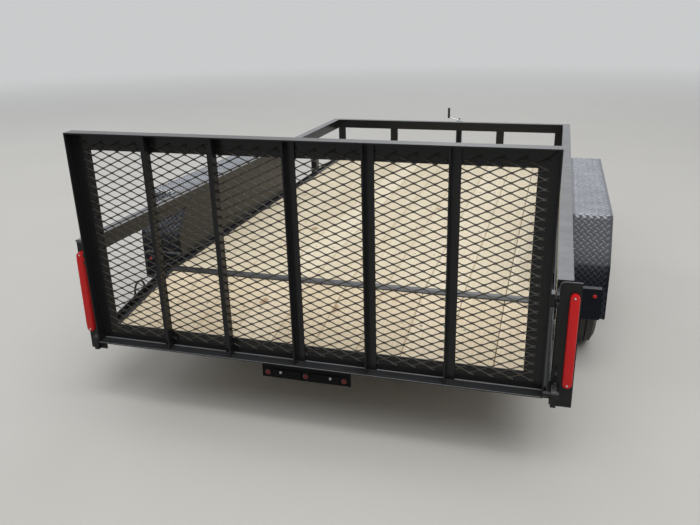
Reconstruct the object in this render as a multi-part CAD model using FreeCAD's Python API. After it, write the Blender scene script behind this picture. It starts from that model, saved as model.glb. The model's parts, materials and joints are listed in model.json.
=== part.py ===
import FreeCAD, Part
import math
import os
from FreeCAD import Vector

# Tandem-axle utility trailer with a dovetail and a fold-down mesh gate, standing on its wheels and its jack.
# Millimetres. X to the right, Y forward, Z up from the floor. The origin is on the floor under the middle of
# the whole trailer, with the gate up.

# Bed
bed_length = 3658.0
bed_width = 1934.0
deck_height = 400.0
board_thickness = 38.0
board_count = 10
board_gap = 3.0
board_side_gap = 23.5
edge_bar_width = 28.0
edge_bar_thickness = 5.0
edge_bar_gap = 6.0
dovetail_length = 612.0
dovetail_drop = 101.0
steel = 6.0

# Frame angles under the bed
side_depth = 94.0
side_foot = 51.0
side_lip = 20.0
dovetail_lip = 30.0
cross_width = 51.0
cross_count = 6
strap_reach = 28.0
strap_thickness = 4.0

# Top rail, uprights and rear posts
rail_flange = 57.0
rail_leg = 70.0
upright_width = 64.0
upright_depth = 45.0
front_upright_spacing = 922.0
side_upright_setback = 3.25
post_width = 77.0
post_corner = 20.0
post_setback = 23.0
post_foot_drop = 160.0
post_leg = 10.0
post_flange = 48.0

# Wheels and fenders
wheels_ahead_of_bend = 982.0
tyre_radius = 344.5
tyre_width = 196.0
rim_radius = 192.0
rim_width = 140.0
rim_flange = 12.0
rim_wall = 4.0
rim_lip = 6.0
rim_edge = 5.0
rim_well_depth = 22.0
rim_well_inner = 34.0
rim_well_outer = 48.0
rim_well_slant_inner = 10.0
rim_well_slant_outer = 14.0
rim_wall_shift = 2.0
tyre_bead_rise = 3.0
tyre_flare = 14.0
tyre_flare_rise = 6.0
tyre_bulge_rise = 10.0
tyre_shoulder = 22.0
tyre_shoulder_inset = 12.0
tyre_corner = 7.0
tyre_corner_inset = 24.0
tyre_crown = 3.0
tyre_crown_inset = 42.0
disc_place = 16.0
disc_thickness = 5.0
disc_flat_radius = 88.0
disc_crest_radius = 112.0
disc_crest = 22.0
disc_foot = 10.0
disc_bend = 4.0
window_count = 8
window_circle = 136.0
window_radius = 17.0
hub_radius = 42.0
hub_inside = 46.0
hub_flange_radius = 76.0
hub_face = 30.0
hub_step = 6.0
cap_radius = 29.0
cap_end = 62.0
cap_corner = 7.0
bore_end = 24.0
spindle_radius = 17.0
running_clearance = 0.06
fender_clearance = 48.0
fender_width = 232.0
fender_sheet = 3.0
fender_flat = 1395.0
fender_slope_run = 147.0
fender_slope_drop = 200.0
fender_end = 256.0
fender_bend = 30.0
fender_skirt = 65.0
lamp_box_width = 207.0
lamp_box_height = 151.0
lamp_box_depth = 17.0

# Axles and springs
eye_below_frame = 55.5
axle_radius = 30.0
axle_end_inset = 68.0
bracket_thickness = 16.0
bracket_half = 32.0
bracket_boss = 36.0
spindle_reach = 20.0
spring_seat_half = 45.0
spring_inset = 32.0
spring_width = 44.0
spring_leaf = 7.0
spring_leaves = 4
spring_leaf_step = 0.24
spring_length = 640.0
equalizer_span = 198.0
spring_camber = 46.0
eye_radius = 14.0
eye_bore = 8.0
hanger_plate = 5.0
hanger_half = 28.0
hanger_below_eye = 20.0
middle_hanger_half = 30.0
equalizer_tip = 18.0
equalizer_end_half = 15.0
equalizer_middle_half = 25.0
equalizer_sag = 1.0
link_fit = 0.3

# Tongue, coupler and jack
tongue_reach = 1215.0
tongue_depth = 76.0
tongue_flange = 38.0
tongue_wall = 5.0
tongue_half_angle = 25.0
tongue_tail = 560.0
tongue_tip_setback = 60.0
tongue_tip_half = 14.0
tongue_seam = 1.0
ball_setback = 44.0
ball_radius = 25.4
ball_clearance = 0.3
coupler_wall = 5.0
coupler_length = 250.0
coupler_taper = 0.72
socket_wall = 8.0
socket_below = 30.0
socket_above = 34.0
socket_room = 28.0
socket_lip = 6.0
dome_rise = 8.0
dome_inset = 9.0
lever_setback = 46.0
lever_block_half = 14.0
lever_block_length = 30.0
lever_block_height = 26.0
lever_half = 9.0
lever_length = 110.0
lever_start = 20.0
lever_rise = 14.0
lever_thickness = 8.0
jack_behind_coupler = 76.0
jack_plate_reach = 75.0
jack_plate_thickness = 8.0
jack_plate_share = 0.8
jack_flange_radius = 52.0
jack_flange_thickness = 8.0
jack_radius = 28.5
jack_wall = 3.0
jack_above_deck = 218.0
jack_below_deck = 136.0
jack_cap = 12.0
jack_cap_lip = 2.0
jack_leg_radius = 25.0
jack_leg_below_deck = 55.0
jack_leg_floor = 20.0
jack_foot_radius = 70.0
jack_foot_thickness = 6.0
crank_hub_radius = 12.0
crank_hub_height = 40.0
crank_above_cap = 12.0
crank_reach = 104.0
crank_rise = 18.0
crank_half = 8.0
crank_thickness = 6.0
grip_radius = 12.0
grip_length = 98.0

# Gate
gate_width = 1860.0
gate_offset = 19.5
gate_height = 910.0
gate_leg = 75.0
gate_flange = 50.0
gate_wall = 5.0
gate_lean = 1.6
gate_upright_places = (-606.0, -326.0, -14.0, 281.0, 586.0)
gate_upright_sides = (1, 1, -1, -1, -1)
gate_upright_size = 38.0
gate_upright_wall = 5.0
hinge_setback = 57.0
gate_lead = 2.0
hinge_rise = 6.0
hinge_gap = 10.5
hinge_tube_radius = 10.5
hinge_tube_inside = 60.0
hinge_tube_outside = 22.0
hinge_pin_reach = 52.0
hinge_pin_radius = 8.0
hinge_play = 6.0
hinge_bolt_radius = 13.0
hinge_bolt_head = 9.0
ear_thickness = 20.0
ear_radius = 22.0
ear_drop = 42.0
mesh_long = 73.4
mesh_short = 34.3
mesh_strand = 4.0
mesh_thickness = 1.6
mesh_fit = 0.3
mesh_lap = 50.0
latch_height = 384.0
latch_radius = 8.0
latch_reach = 30.0
latch_play = 2.0
latch_block = 14.0
latch_block_half = 20.0
keeper_thickness = 8.0
keeper_half = 25.0

# Lamps and loops
tail_lamp_length = 375.0
tail_lamp_width = 31.0
tail_lamp_depth = 14.0
tail_lamp_below_rail = 47.0
tail_lamp_inset = 8.0
id_bar_width = 388.0
id_bar_drop = 59.0
id_bar_thickness = 5.0
id_lamp_spacing = 167.0
round_lamp_radius = 13.0
round_lamp_depth = 10.0
marker_drop = 34.0
marker_inset = 30.0
loop_from_tail = 337.0
loop_length = 84.0
loop_rise = 26.0
loop_radius = 5.0
loop_foot = 6.0

# Places that several pieces share
lean = math.radians(gate_lean)
gate_top = hinge_gap + gate_height
gate_back = gate_wall + gate_flange - gate_lead
gate_overhang = hinge_setback + gate_back * math.cos(lean) + gate_top * math.sin(lean)
tail = (gate_overhang - bed_length - tongue_reach) / 2
nose = tail + bed_length + tongue_reach
front = tail + bed_length
bend = tail + dovetail_length
half_bed = bed_width / 2
leg_out = half_bed + steel
deck_bottom = deck_height - board_thickness
frame_bottom = deck_height - side_depth
tail_deck = deck_height - dovetail_drop
tail_bottom = tail_deck - board_thickness - steel
rail_top = 2 * tyre_radius + fender_clearance + steel
rail_bottom = rail_top - rail_leg
post_face = tail - post_setback
wheel_middle = bend + wheels_ahead_of_bend
wheel_spread = spring_length + equalizer_span
axle_places = {"rear": wheel_middle - wheel_spread / 2, "front": wheel_middle + wheel_spread / 2}
plate_out = leg_out + fender_sheet
fender_top = rail_top - steel
fender_out = leg_out + fender_width
wheel_plane = (plate_out + fender_out - fender_sheet) / 2
eye_height = frame_bottom - eye_below_frame
spring_top = eye_height - spring_camber
beam_height = spring_top + axle_radius
eye_drop = spring_camber - eye_radius + spring_leaf / 2
spring_radius = ((spring_length / 2) ** 2 + eye_drop ** 2) / (2 * eye_drop)
spring_plane = leg_out - spring_inset
fender_reach = fender_flat / 2 + fender_slope_run
side_upright = (wheel_middle + fender_reach + front) / 2 - side_upright_setback
fender_low = fender_top - fender_slope_drop - fender_end
lamp_box_out = leg_out + lamp_box_width
lamp_box_top = fender_low + lamp_box_height
tongue_tip = nose - ball_setback - tongue_tip_setback
tongue_spread = math.tan(math.radians(tongue_half_angle))
jack_y = nose - ball_setback - coupler_length - jack_behind_coupler
jack_top = deck_height + jack_above_deck
jack_bottom = deck_height - jack_below_deck
jack_leg_top = deck_height - jack_leg_below_deck
hinge_y = tail - hinge_setback
hinge_z = tail_deck + hinge_rise
half_gate = gate_width / 2
gate_low = hinge_z + hinge_gap
gate_high = gate_low + gate_height
mesh_face = hinge_y + gate_lead - gate_wall
post_inner = half_gate + hinge_tube_outside + hinge_play
post_outer = post_inner + post_width
half_boards = half_bed - board_side_gap
board_width = (2 * half_boards + board_gap) / board_count - board_gap
sides = {"left": -1, "right": 1}


def box(x0, x1, y0, y1, z0, z1):
    corner = Vector(min(x0, x1), min(y0, y1), min(z0, z1))
    return Part.makeBox(abs(x1 - x0), abs(y1 - y0), abs(z1 - z0), corner)


def prism(points, along):
    """A closed outline of points, pushed along a vector."""
    corners = [Vector(*point) for point in points]
    return Part.Face(Part.makePolygon(corners + corners[:1])).extrude(Vector(*along))


def rod(start, end, radius):
    start = Vector(*start)
    reach = Vector(*end) - start
    return Part.makeCylinder(radius, reach.Length, start, reach)


def mirrored(shape):
    return shape.mirror(Vector(0, 0, 0), Vector(1, 0, 0))


def on_side(shape, side):
    return shape if side > 0 else mirrored(shape)


def fused(shapes):
    whole = shapes[0]
    for shape in shapes[1:]:
        whole = whole.fuse(shape)
    return whole.removeSplitter()


def save(name, shapes):
    solids = [solid for shape in shapes for solid in shape.Solids]
    whole = solids[0] if len(solids) == 1 else Part.makeCompound(solids)
    whole.exportStep("parts/" + name + ".step")


def deck_z(y):
    """Height of the boards' tops at a place along the trailer."""
    return deck_height - dovetail_drop * max(0.0, bend - y) / dovetail_length


def side_member():
    """Right side of the frame: a deep angle under the level bed, and one that falls to the tail."""
    level = fused([
        box(half_bed, leg_out, bend, front, frame_bottom, deck_height + side_lip),
        box(half_bed - side_foot, half_bed, bend, front, frame_bottom, frame_bottom + steel),
    ])
    low = tail_bottom
    outline = [
        (half_bed - side_foot, tail, low), (leg_out, tail, low),
        (leg_out, tail, tail_deck + dovetail_lip), (half_bed, tail, tail_deck + dovetail_lip),
        (half_bed, tail, low + steel), (half_bed - side_foot, tail, low + steel),
    ]
    fall = prism(outline, (0, dovetail_length, dovetail_drop))
    return fused([level, fall])


def front_member():
    inner = half_bed - side_foot
    return fused([
        box(-leg_out, leg_out, front, front + steel, frame_bottom, deck_height + side_lip),
        box(-inner, inner, front - side_foot, front, frame_bottom, frame_bottom + steel),
    ])


def tail_member():
    inner = half_bed - side_foot
    return fused([
        box(-inner, inner, tail - steel, tail, tail_bottom, tail_deck),
        prism([(-inner, tail, tail_bottom), (-inner, tail, tail_bottom + steel),
               (-inner, tail + side_foot, tail_bottom + steel + dovetail_drop * side_foot / dovetail_length),
               (-inner, tail + side_foot, tail_bottom + dovetail_drop * side_foot / dovetail_length)],
              (2 * inner, 0, 0)),
    ])


def crossmembers():
    """Angles between the side members, coped over their feet, and one that carries the bend."""
    shapes = []
    first = bend
    last = front - side_foot - cross_width
    inner = half_bed - side_foot
    feet = [box(side * inner, side * half_bed, bend, front, frame_bottom, frame_bottom + steel)
            for side in (-1, 1)]
    for index in range(cross_count):
        y = first + (last - first) * index / cross_count
        flat = box(-half_bed, half_bed, y, y + cross_width, deck_bottom - steel, deck_bottom)
        web = box(-half_bed, half_bed, y, y + steel, frame_bottom, deck_bottom)
        shapes.append(fused([flat, web]).cut(feet[0]).cut(feet[1]))
    y = tail + dovetail_length / 2
    under = deck_z(y) - board_thickness
    rise = dovetail_drop * cross_width / dovetail_length
    shapes.append(fused([
        prism([(-inner, y, under), (-inner, y, under - steel),
               (-inner, y + cross_width, under - steel + rise), (-inner, y + cross_width, under + rise)],
              (2 * inner, 0, 0)),
        prism([(-inner, y, under), (-inner, y, under - cross_width),
               (-inner, y + steel, under - cross_width), (-inner, y + steel, under)],
              (2 * inner, 0, 0)),
    ]))
    return shapes


def board_edges():
    for index in range(board_count):
        x = -half_boards + index * (board_width + board_gap)
        yield x, x + board_width


def level_boards():
    return [box(x0, x1, bend, front, deck_bottom, deck_height) for x0, x1 in board_edges()]


def dovetail_boards():
    bottom = tail_deck - board_thickness
    return [prism([(x0, tail, bottom), (x1, tail, bottom), (x1, tail, tail_deck), (x0, tail, tail_deck)],
                  (0, dovetail_length, dovetail_drop)) for x0, x1 in board_edges()]


def bend_strap():
    fall = dovetail_drop * strap_reach / dovetail_length
    wide = half_bed - edge_bar_gap - edge_bar_width
    return prism([
        (-wide, bend - strap_reach, deck_height - fall), (-wide, bend, deck_height),
        (-wide, bend + strap_reach, deck_height),
        (-wide, bend + strap_reach, deck_height + strap_thickness),
        (-wide, bend, deck_height + strap_thickness),
        (-wide, bend - strap_reach, deck_height + strap_thickness - fall),
    ], (2 * wide, 0, 0))


def edge_bars():
    """Flat bars that hold the boards down along both sides, bent with the deck."""
    outer = half_bed - edge_bar_gap
    low = [(outer, tail, tail_deck), (outer, bend, deck_height), (outer, front, deck_height)]
    high = [(x, y, z + edge_bar_thickness) for x, y, z in low[::-1]]
    bar = prism(low + high, (-edge_bar_width, 0, 0))
    return [on_side(bar, side) for side in (-1, 1)]


def side_rail():
    """Right top rail: an angle with its leg inside and its flange out over the fender."""
    flange = box(half_bed, half_bed + rail_flange, post_face + steel, front, rail_top - steel, rail_top)
    leg = box(half_bed, leg_out, post_face + steel, front, rail_bottom, rail_top - steel)
    return fused([flange, leg])


def front_rail():
    wide = half_bed + rail_flange
    return fused([
        box(-wide, wide, front, front + rail_flange, rail_top - steel, rail_top),
        box(-leg_out, leg_out, front, front + steel, rail_bottom, rail_top - steel),
    ])


def upright(x, y, along_x, depth_sign):
    """An angle from the frame to the underside of the rail's flange, its wide leg against the frame."""
    top = rail_top - steel
    half = upright_width / 2
    if along_x:
        return fused([
            box(x - half, x + half, y, y + steel, frame_bottom, top),
            box(x - half, x - half + steel, y, y + upright_depth, frame_bottom, top),
        ])
    return fused([
        box(x, x + depth_sign * steel, y - half, y + half, frame_bottom, top),
        box(x, x + depth_sign * upright_depth, y - half, y - half + steel, frame_bottom, top),
    ])


def uprights():
    out = front + steel
    shapes = [upright(side * front_upright_spacing / 2, out, True, 1) for side in (-1, 1)]
    for side in (-1, 1):
        shapes.append(upright(side * leg_out, side_upright, False, side))
        corner = side * (leg_out - upright_width / 2)
        shapes.append(upright(corner, out, True, 1))
    return shapes


def off_centre(shape, side):
    """Places a piece of the right side by the gate's own middle, which stands a little beside the bed's."""
    placed = on_side(shape, side)
    placed.translate(Vector(gate_offset, 0, 0))
    return placed


def rear_post(side):
    """Rear post: a plate that faces back and carries the lamp, with a leg along the bed's side."""
    low = deck_height - post_foot_drop
    high = rail_top - steel
    face = box(post_inner, post_outer, post_face, post_face + steel, low, high - post_corner)
    crown = box(post_inner + post_corner, post_outer, post_face, post_face + steel, high - post_corner, high)
    corner = rod((post_inner + post_corner, post_face, high - post_corner),
                 (post_inner + post_corner, post_face + steel, high - post_corner), post_corner)
    plate = off_centre(fused([face, crown, corner]), side)
    leg = on_side(box(leg_out, leg_out + post_leg, post_face + steel, tail + post_flange, low, high), side)
    return [fused([plate, leg]), off_centre(keeper(), side)]


def keeper():
    """Open-backed catch for the gate's pin, on the post's inner edge."""
    z = hinge_z + latch_height
    y = hinge_y - latch_height * math.sin(lean)
    bore = latch_radius + latch_play
    plate = box(post_inner - keeper_thickness, post_inner, y - keeper_half, post_face + steel,
                z - keeper_half, z + keeper_half)
    slot = box(post_inner - keeper_thickness, post_inner, y - keeper_half, y, z - bore, z + bore)
    seat = rod((post_inner - keeper_thickness, y, z), (post_inner, y, z), bore)
    return plate.cut(slot).cut(seat)


def hinge_ears():
    """Rounded lugs behind the rear posts, each with the bolt that the gate turns on."""
    shapes = []
    x0 = post_inner
    x1 = x0 + ear_thickness
    for side in (-1, 1):
        ear = fused([
            box(x0, x1, hinge_y, post_face, hinge_z - ear_drop, hinge_z + ear_radius),
            box(x0, x1, hinge_y - ear_radius, hinge_y, hinge_z - ear_drop, hinge_z),
            rod((x0, hinge_y, hinge_z), (x1, hinge_y, hinge_z), ear_radius),
            rod((half_gate - hinge_pin_reach, hinge_y, hinge_z), (x1, hinge_y, hinge_z), hinge_pin_radius),
            rod((x1, hinge_y, hinge_z), (x1 + hinge_bolt_head, hinge_y, hinge_z), hinge_bolt_radius),
        ])
        shapes.append(off_centre(ear, side))
    return shapes


def fender_outline(sheet, low):
    """The fender's side view, moved in by a sheet's thickness, and closed along a low line."""
    half = fender_flat / 2
    slope = math.hypot(fender_slope_run, fender_slope_drop)
    bend_in = sheet * (slope - fender_slope_run) / fender_slope_drop
    bend_down = sheet * (slope - fender_slope_drop) / fender_slope_run
    right = [
        (half - bend_in, fender_top - sheet),
        (fender_reach - sheet, fender_top - fender_slope_drop - bend_down),
        (fender_reach - sheet, low),
    ]
    points = [(-y, z) for y, z in right[::-1]] + right
    return [(wheel_middle + y, z) for y, z in points]


def fender_body(x0, x1, sheet, low):
    """The fender's side view as a solid between two planes, with its four bends rounded."""
    points = fender_outline(sheet, low)
    body = prism([(x0, y, z) for y, z in points], (x1 - x0, 0, 0))
    across = [line for line in body.Edges if max(line.BoundBox.YLength, line.BoundBox.ZLength) < link_fit]
    bends = [line for line in across if line.BoundBox.ZMin > low + link_fit]
    return body.makeFillet(max(fender_bend - sheet, fender_sheet), bends)


def fender():
    """Right fender of one bent sheet, with a narrow skirt along its outer edge and a lamp box at each end."""
    outer = fender_body(leg_out, fender_out, 0.0, fender_low)
    inner = fender_body(leg_out, fender_out - fender_sheet, fender_sheet, fender_low)
    opened = fender_body(fender_out - fender_sheet, fender_out, fender_skirt, fender_low)
    shapes = [outer.cut(inner).cut(opened)]
    for end in (-1, 1):
        face = wheel_middle + end * fender_reach
        shapes.append(box(leg_out, lamp_box_out, face, face + end * lamp_box_depth, fender_low, lamp_box_top))
    return fused(shapes)


def fender_back():
    """Flat plate between the wheels and the bed, from the frame to the top rail."""
    return fender_body(leg_out, plate_out, fender_sheet, frame_bottom + steel)


def tyre(x, y):
    """Closed ring with rounded shoulders and a bead on each side of the rim."""
    half = tyre_width / 2
    bead = rim_width / 2 - rim_lip - link_fit
    shoulder = tyre_radius - tyre_shoulder
    seat = rim_radius + link_fit
    lip = seat + rim_flange + tyre_bead_rise
    flare = (bead + tyre_flare, lip + tyre_flare_rise)
    bulge = (half, (seat + shoulder) / 2 + tyre_bulge_rise)
    edge_place = (half - tyre_shoulder_inset, shoulder)
    corner = (half - tyre_corner_inset, tyre_radius - tyre_corner)
    crown = (half - tyre_crown_inset, tyre_radius - tyre_crown)
    profile = [
        ("line", (bead, seat), (bead, lip)),
        ("line", (bead, lip), flare),
        ("arc", flare, bulge, edge_place),
        ("arc", edge_place, corner, crown),
        ("line", crown, (0.0, tyre_radius)),
    ]
    right = [edge(kind, points) for kind, *points in profile]
    left = [edge(kind, [(-u, r) for u, r in points[::-1]]) for kind, *points in profile[::-1]]
    base = edge("line", [(-bead, seat), (bead, seat)])
    ring = Part.Face(Part.Wire(right + left + [base])).revolve(Vector(0, 0, 0), Vector(1, 0, 0), 360)
    ring.translate(Vector(x, y, tyre_radius))
    return ring


def edge(kind, points):
    """An edge in the plane through the X axis, from points given as (along X, radius)."""
    places = [Vector(u, 0, r) for u, r in points]
    if kind == "line":
        return Part.makeLine(*places)
    return Part.Arc(*places).toShape()


def revolved(points):
    """A solid turned about the X axis, from a closed outline of (along X, radius)."""
    corners = [Vector(u, 0, r) for u, r in points]
    return Part.Face(Part.makePolygon(corners + corners[:1])).revolve(Vector(0, 0, 0), Vector(1, 0, 0), 360)


def rim(x, y, side):
    """Steel rim with a pressed disc, eight windows, and its hub with a grease cap."""
    half = rim_width / 2
    seat = rim_radius
    crest = seat + rim_flange
    well = seat - rim_well_depth
    inner = -half + rim_well_inner
    outer = half - rim_well_outer
    barrel = revolved([
        (-half, crest), (-half + rim_edge, crest), (-half + rim_lip, seat), (inner, seat),
        (inner + rim_well_slant_inner, well), (outer - rim_well_slant_outer, well), (outer, seat),
        (half - rim_lip, seat), (half - rim_edge, crest), (half, crest), (half, seat - rim_wall),
        (outer - rim_wall_shift, seat - rim_wall),
        (outer - rim_well_slant_outer - rim_wall_shift, well - rim_wall),
        (inner + rim_well_slant_inner - rim_wall_shift, well - rim_wall),
        (inner - rim_wall_shift, seat - rim_wall), (-half, seat - rim_wall),
    ])
    step = hub_radius - hub_step
    reach = well - rim_wall + link_fit
    disc = revolved([
        (disc_place, step), (disc_place + disc_thickness, step),
        (disc_place + disc_thickness, disc_flat_radius),
        (disc_place + disc_crest, disc_crest_radius), (disc_place - disc_foot, reach),
        (disc_place - disc_foot - 2 * disc_thickness, reach),
        (disc_place + disc_crest - 2 * disc_bend, disc_crest_radius),
        (disc_place, disc_flat_radius + disc_bend),
    ])
    for index in range(window_count):
        window = rod((-half, 0.0, window_circle), (half, 0.0, window_circle), window_radius)
        window.rotate(Vector(0, 0, 0), Vector(1, 0, 0), 360.0 * index / window_count)
        disc = disc.cut(window)
    bore = spindle_radius + running_clearance
    hub = revolved([
        (-hub_inside, bore), (bore_end, bore), (bore_end, 0.0), (cap_end, 0.0),
        (cap_end, cap_radius - cap_corner), (cap_end - hub_step, cap_radius), (hub_face, cap_radius),
        (hub_face, step), (disc_place, step), (disc_place, hub_flange_radius),
        (disc_place - disc_foot, hub_flange_radius), (disc_place - disc_foot, hub_radius),
        (-hub_inside, hub_radius),
    ])
    wheel = on_side(barrel.fuse(disc).fuse(hub), side)
    wheel.translate(Vector(side * x, y, tyre_radius))
    return wheel


def axle(y):
    """Dropped beam with a bracket at each end that holds the spindle inside the wheel."""
    end = wheel_plane - axle_end_inset
    start = end - bracket_thickness
    beam = rod((-end, y, beam_height), (end, y, beam_height), axle_radius)
    parts = [beam]
    for side in (-1, 1):
        plate = fused([
            box(start, end, y - bracket_half, y + bracket_half, beam_height, tyre_radius),
            rod((start, y, beam_height), (end, y, beam_height), bracket_boss),
            rod((start, y, tyre_radius), (end, y, tyre_radius), bracket_half),
            rod((end, y, tyre_radius), (wheel_plane + spindle_reach, y, tyre_radius), spindle_radius),
        ])
        parts.append(on_side(plate, side))
        seat = box(spring_plane - spring_width / 2, spring_plane + spring_width / 2, y - spring_seat_half,
                   y + spring_seat_half, spring_top, beam_height)
        curve = rod((spring_plane - spring_width, y, spring_top + spring_radius),
                    (spring_plane + spring_width, y, spring_top + spring_radius),
                    spring_radius - running_clearance)
        parts.append(on_side(seat.common(curve), side))
    return fused(parts)


def leaf_arc(radius_in, radius_out, half_length, x0, y, z_centre):
    """One leaf: a strip between two arcs about a centre above, cut to a length."""
    ring = Part.makeCylinder(radius_out, spring_width, Vector(x0, y, z_centre), Vector(1, 0, 0)).cut(
        Part.makeCylinder(radius_in, spring_width, Vector(x0, y, z_centre), Vector(1, 0, 0)))
    window = box(x0, x0 + spring_width, y - half_length, y + half_length, z_centre - radius_out - spring_leaf,
                 z_centre)
    return ring.common(window)


def spring(y):
    """Leaf spring under the axle beam, its longest leaf rolled into an eye at each end."""
    half = spring_length / 2
    x0 = spring_plane - spring_width / 2
    centre = spring_top + spring_radius
    leaves = []
    for index in range(spring_leaves):
        length = half * (1.0 - spring_leaf_step * index)
        inner = spring_radius + index * spring_leaf
        leaves.append(leaf_arc(inner, inner + spring_leaf, length, x0, y, centre))
    whole = fused(leaves)
    for end in (-1, 1):
        place = (x0, y + end * half, eye_height)
        whole = whole.fuse(rod(place, (x0 + spring_width, place[1], place[2]), eye_radius))
    for end in (-1, 1):
        place = (x0, y + end * half, eye_height)
        whole = whole.cut(rod(place, (x0 + spring_width, place[1], place[2]), eye_bore))
    return whole


def hanger(y, plate_gap, low):
    """Two plates under the frame with a bolt through them."""
    x0 = spring_plane - plate_gap / 2
    x1 = spring_plane + plate_gap / 2
    y0 = y - hanger_half
    y1 = y + hanger_half
    return fused([
        box(x0 - hanger_plate, x0, y0, y1, low, frame_bottom),
        box(x1, x1 + hanger_plate, y0, y1, low, frame_bottom),
        box(x0, x1, y0, y1, frame_bottom - hanger_plate, frame_bottom),
        rod((x0, y, eye_height), (x1, y, eye_height), eye_bore - link_fit),
    ])


def hangers():
    shapes = []
    gap = spring_width + 2 * link_fit
    reach = wheel_spread / 2 + spring_length / 2
    low = eye_height - hanger_below_eye
    x0 = spring_plane - spring_width / 2
    x1 = spring_plane + spring_width / 2
    for side in (-1, 1):
        for place in (-reach, reach):
            shapes.append(on_side(hanger(wheel_middle + place, gap, low), side))
        middle = box(x0, x1, wheel_middle - middle_hanger_half, wheel_middle + middle_hanger_half,
                     low, frame_bottom)
        bore = rod((x0, wheel_middle, eye_height), (x1, wheel_middle, eye_height), eye_bore)
        shapes.append(on_side(middle.cut(bore), side))
    return shapes


def equalizers():
    """A pair of long links each side that join the springs' inner eyes over the middle hanger."""
    shapes = []
    inner = wheel_spread / 2 - spring_length / 2
    tip = inner + equalizer_tip
    z = eye_height - equalizer_sag
    x0 = spring_plane - spring_width / 2 - link_fit
    x1 = spring_plane + spring_width / 2 + link_fit
    for side in (-1, 1):
        parts = []
        for start in (x0 - hanger_plate, x1):
            parts.append(prism([
                (start, wheel_middle - tip, z - equalizer_end_half),
                (start, wheel_middle, z - equalizer_middle_half),
                (start, wheel_middle + tip, z - equalizer_end_half),
                (start, wheel_middle + tip, z + equalizer_end_half),
                (start, wheel_middle, z + equalizer_middle_half),
                (start, wheel_middle - tip, z + equalizer_end_half),
            ], (hanger_plate, 0, 0)))
        for place in (-inner, 0.0, inner):
            parts.append(rod((x0, wheel_middle + place, eye_height), (x1, wheel_middle + place, eye_height),
                             eye_bore - link_fit))
        shapes.append(on_side(fused(parts), side))
    return shapes


def tongue_member():
    """Right tongue member: a channel, open inward, from under the bed to the coupler."""
    turn = math.radians(tongue_half_angle)
    along = Vector(-math.sin(turn), math.cos(turn), 0)
    out = Vector(math.cos(turn), math.sin(turn), 0)
    tip = Vector(tongue_tip_half, tongue_tip, 0)
    length = (tongue_tip - (front - tongue_tail)) / math.cos(turn)
    top = frame_bottom
    low = frame_bottom - tongue_depth

    def corner(u, z):
        point = tip + out * u
        return (point.x, point.y, z)

    profile = [corner(0.0, low), corner(tongue_flange, low), corner(tongue_flange, top), corner(0.0, top),
               corner(0.0, top - tongue_wall), corner(tongue_flange - tongue_wall, top - tongue_wall),
               corner(tongue_flange - tongue_wall, low + tongue_wall), corner(0.0, low + tongue_wall)]
    back = along * -length
    member = prism(profile, (back.x, back.y, 0))
    return member.common(box(tongue_seam, leg_out, front - tongue_tail, nose, low, top))


def coupler():
    """Pressed coupler over the tongue's tip: a tapering plate with side walls, and a round socket."""
    ball_y = nose - ball_setback
    top = frame_bottom
    low = top - socket_below
    shoulder = top + socket_above
    outer = ball_radius + ball_clearance + socket_wall
    back_y = ball_y - coupler_length
    wide = outer + coupler_length * tongue_spread * coupler_taper
    plate = prism([(-outer, ball_y, top), (-wide, back_y, top), (wide, back_y, top), (outer, ball_y, top)],
                  (0, 0, coupler_wall))
    socket = rod((0, ball_y, low), (0, ball_y, shoulder), outer)
    dome = rod((0, ball_y, shoulder), (0, ball_y, shoulder + dome_rise), outer - dome_inset)
    lip = rod((0, ball_y, low), (0, ball_y, low + socket_lip), ball_setback)
    bore = rod((0, ball_y, low), (0, ball_y, top + socket_room), ball_radius + ball_clearance)
    return fused([plate, socket, dome, lip]).cut(bore)


def coupler_lever():
    """Latch lever lying on top of the coupler, behind the socket."""
    top = frame_bottom + coupler_wall
    start = nose - ball_setback - lever_setback
    high = top + lever_block_height
    y0 = start - lever_start
    y1 = y0 - lever_length
    return fused([
        box(-lever_block_half, lever_block_half, start - lever_block_length, start, top, high),
        prism([(-lever_half, y0, high - lever_thickness), (-lever_half, y0, high),
               (-lever_half, y1, high + lever_rise), (-lever_half, y1, high + lever_rise - lever_thickness)],
              (2 * lever_half, 0, 0)),
    ])


def jack_plate():
    """Plate across the tongue that the jack's tube stands in."""
    y0 = jack_y - jack_plate_reach
    y1 = jack_y + jack_plate_reach
    shoulder = tongue_tip_half + tongue_flange * jack_plate_share
    wide_front = shoulder + (tongue_tip - y1) * tongue_spread
    wide_back = shoulder + (tongue_tip - y0) * tongue_spread
    top = frame_bottom
    outline = [(-wide_front, y1, top), (-wide_back, y0, top), (wide_back, y0, top), (wide_front, y1, top)]
    plate = prism(outline, (0, 0, jack_plate_thickness))
    return plate.cut(rod((0, jack_y, top), (0, jack_y, top + jack_plate_thickness), jack_radius))


def jack_tube():
    """Outer tube with a flange on the plate and a cap on top."""
    inner = jack_radius - jack_wall
    low = frame_bottom + jack_plate_thickness
    high = low + jack_flange_thickness
    tube = rod((0, jack_y, jack_bottom), (0, jack_y, jack_top), jack_radius).cut(
        rod((0, jack_y, jack_bottom), (0, jack_y, jack_top), inner))
    flange = rod((0, jack_y, low), (0, jack_y, high), jack_flange_radius).cut(
        rod((0, jack_y, low), (0, jack_y, high), inner))
    cap = rod((0, jack_y, jack_top), (0, jack_y, jack_top + jack_cap), jack_radius + jack_cap_lip)
    return fused([tube, flange, cap])


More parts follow.
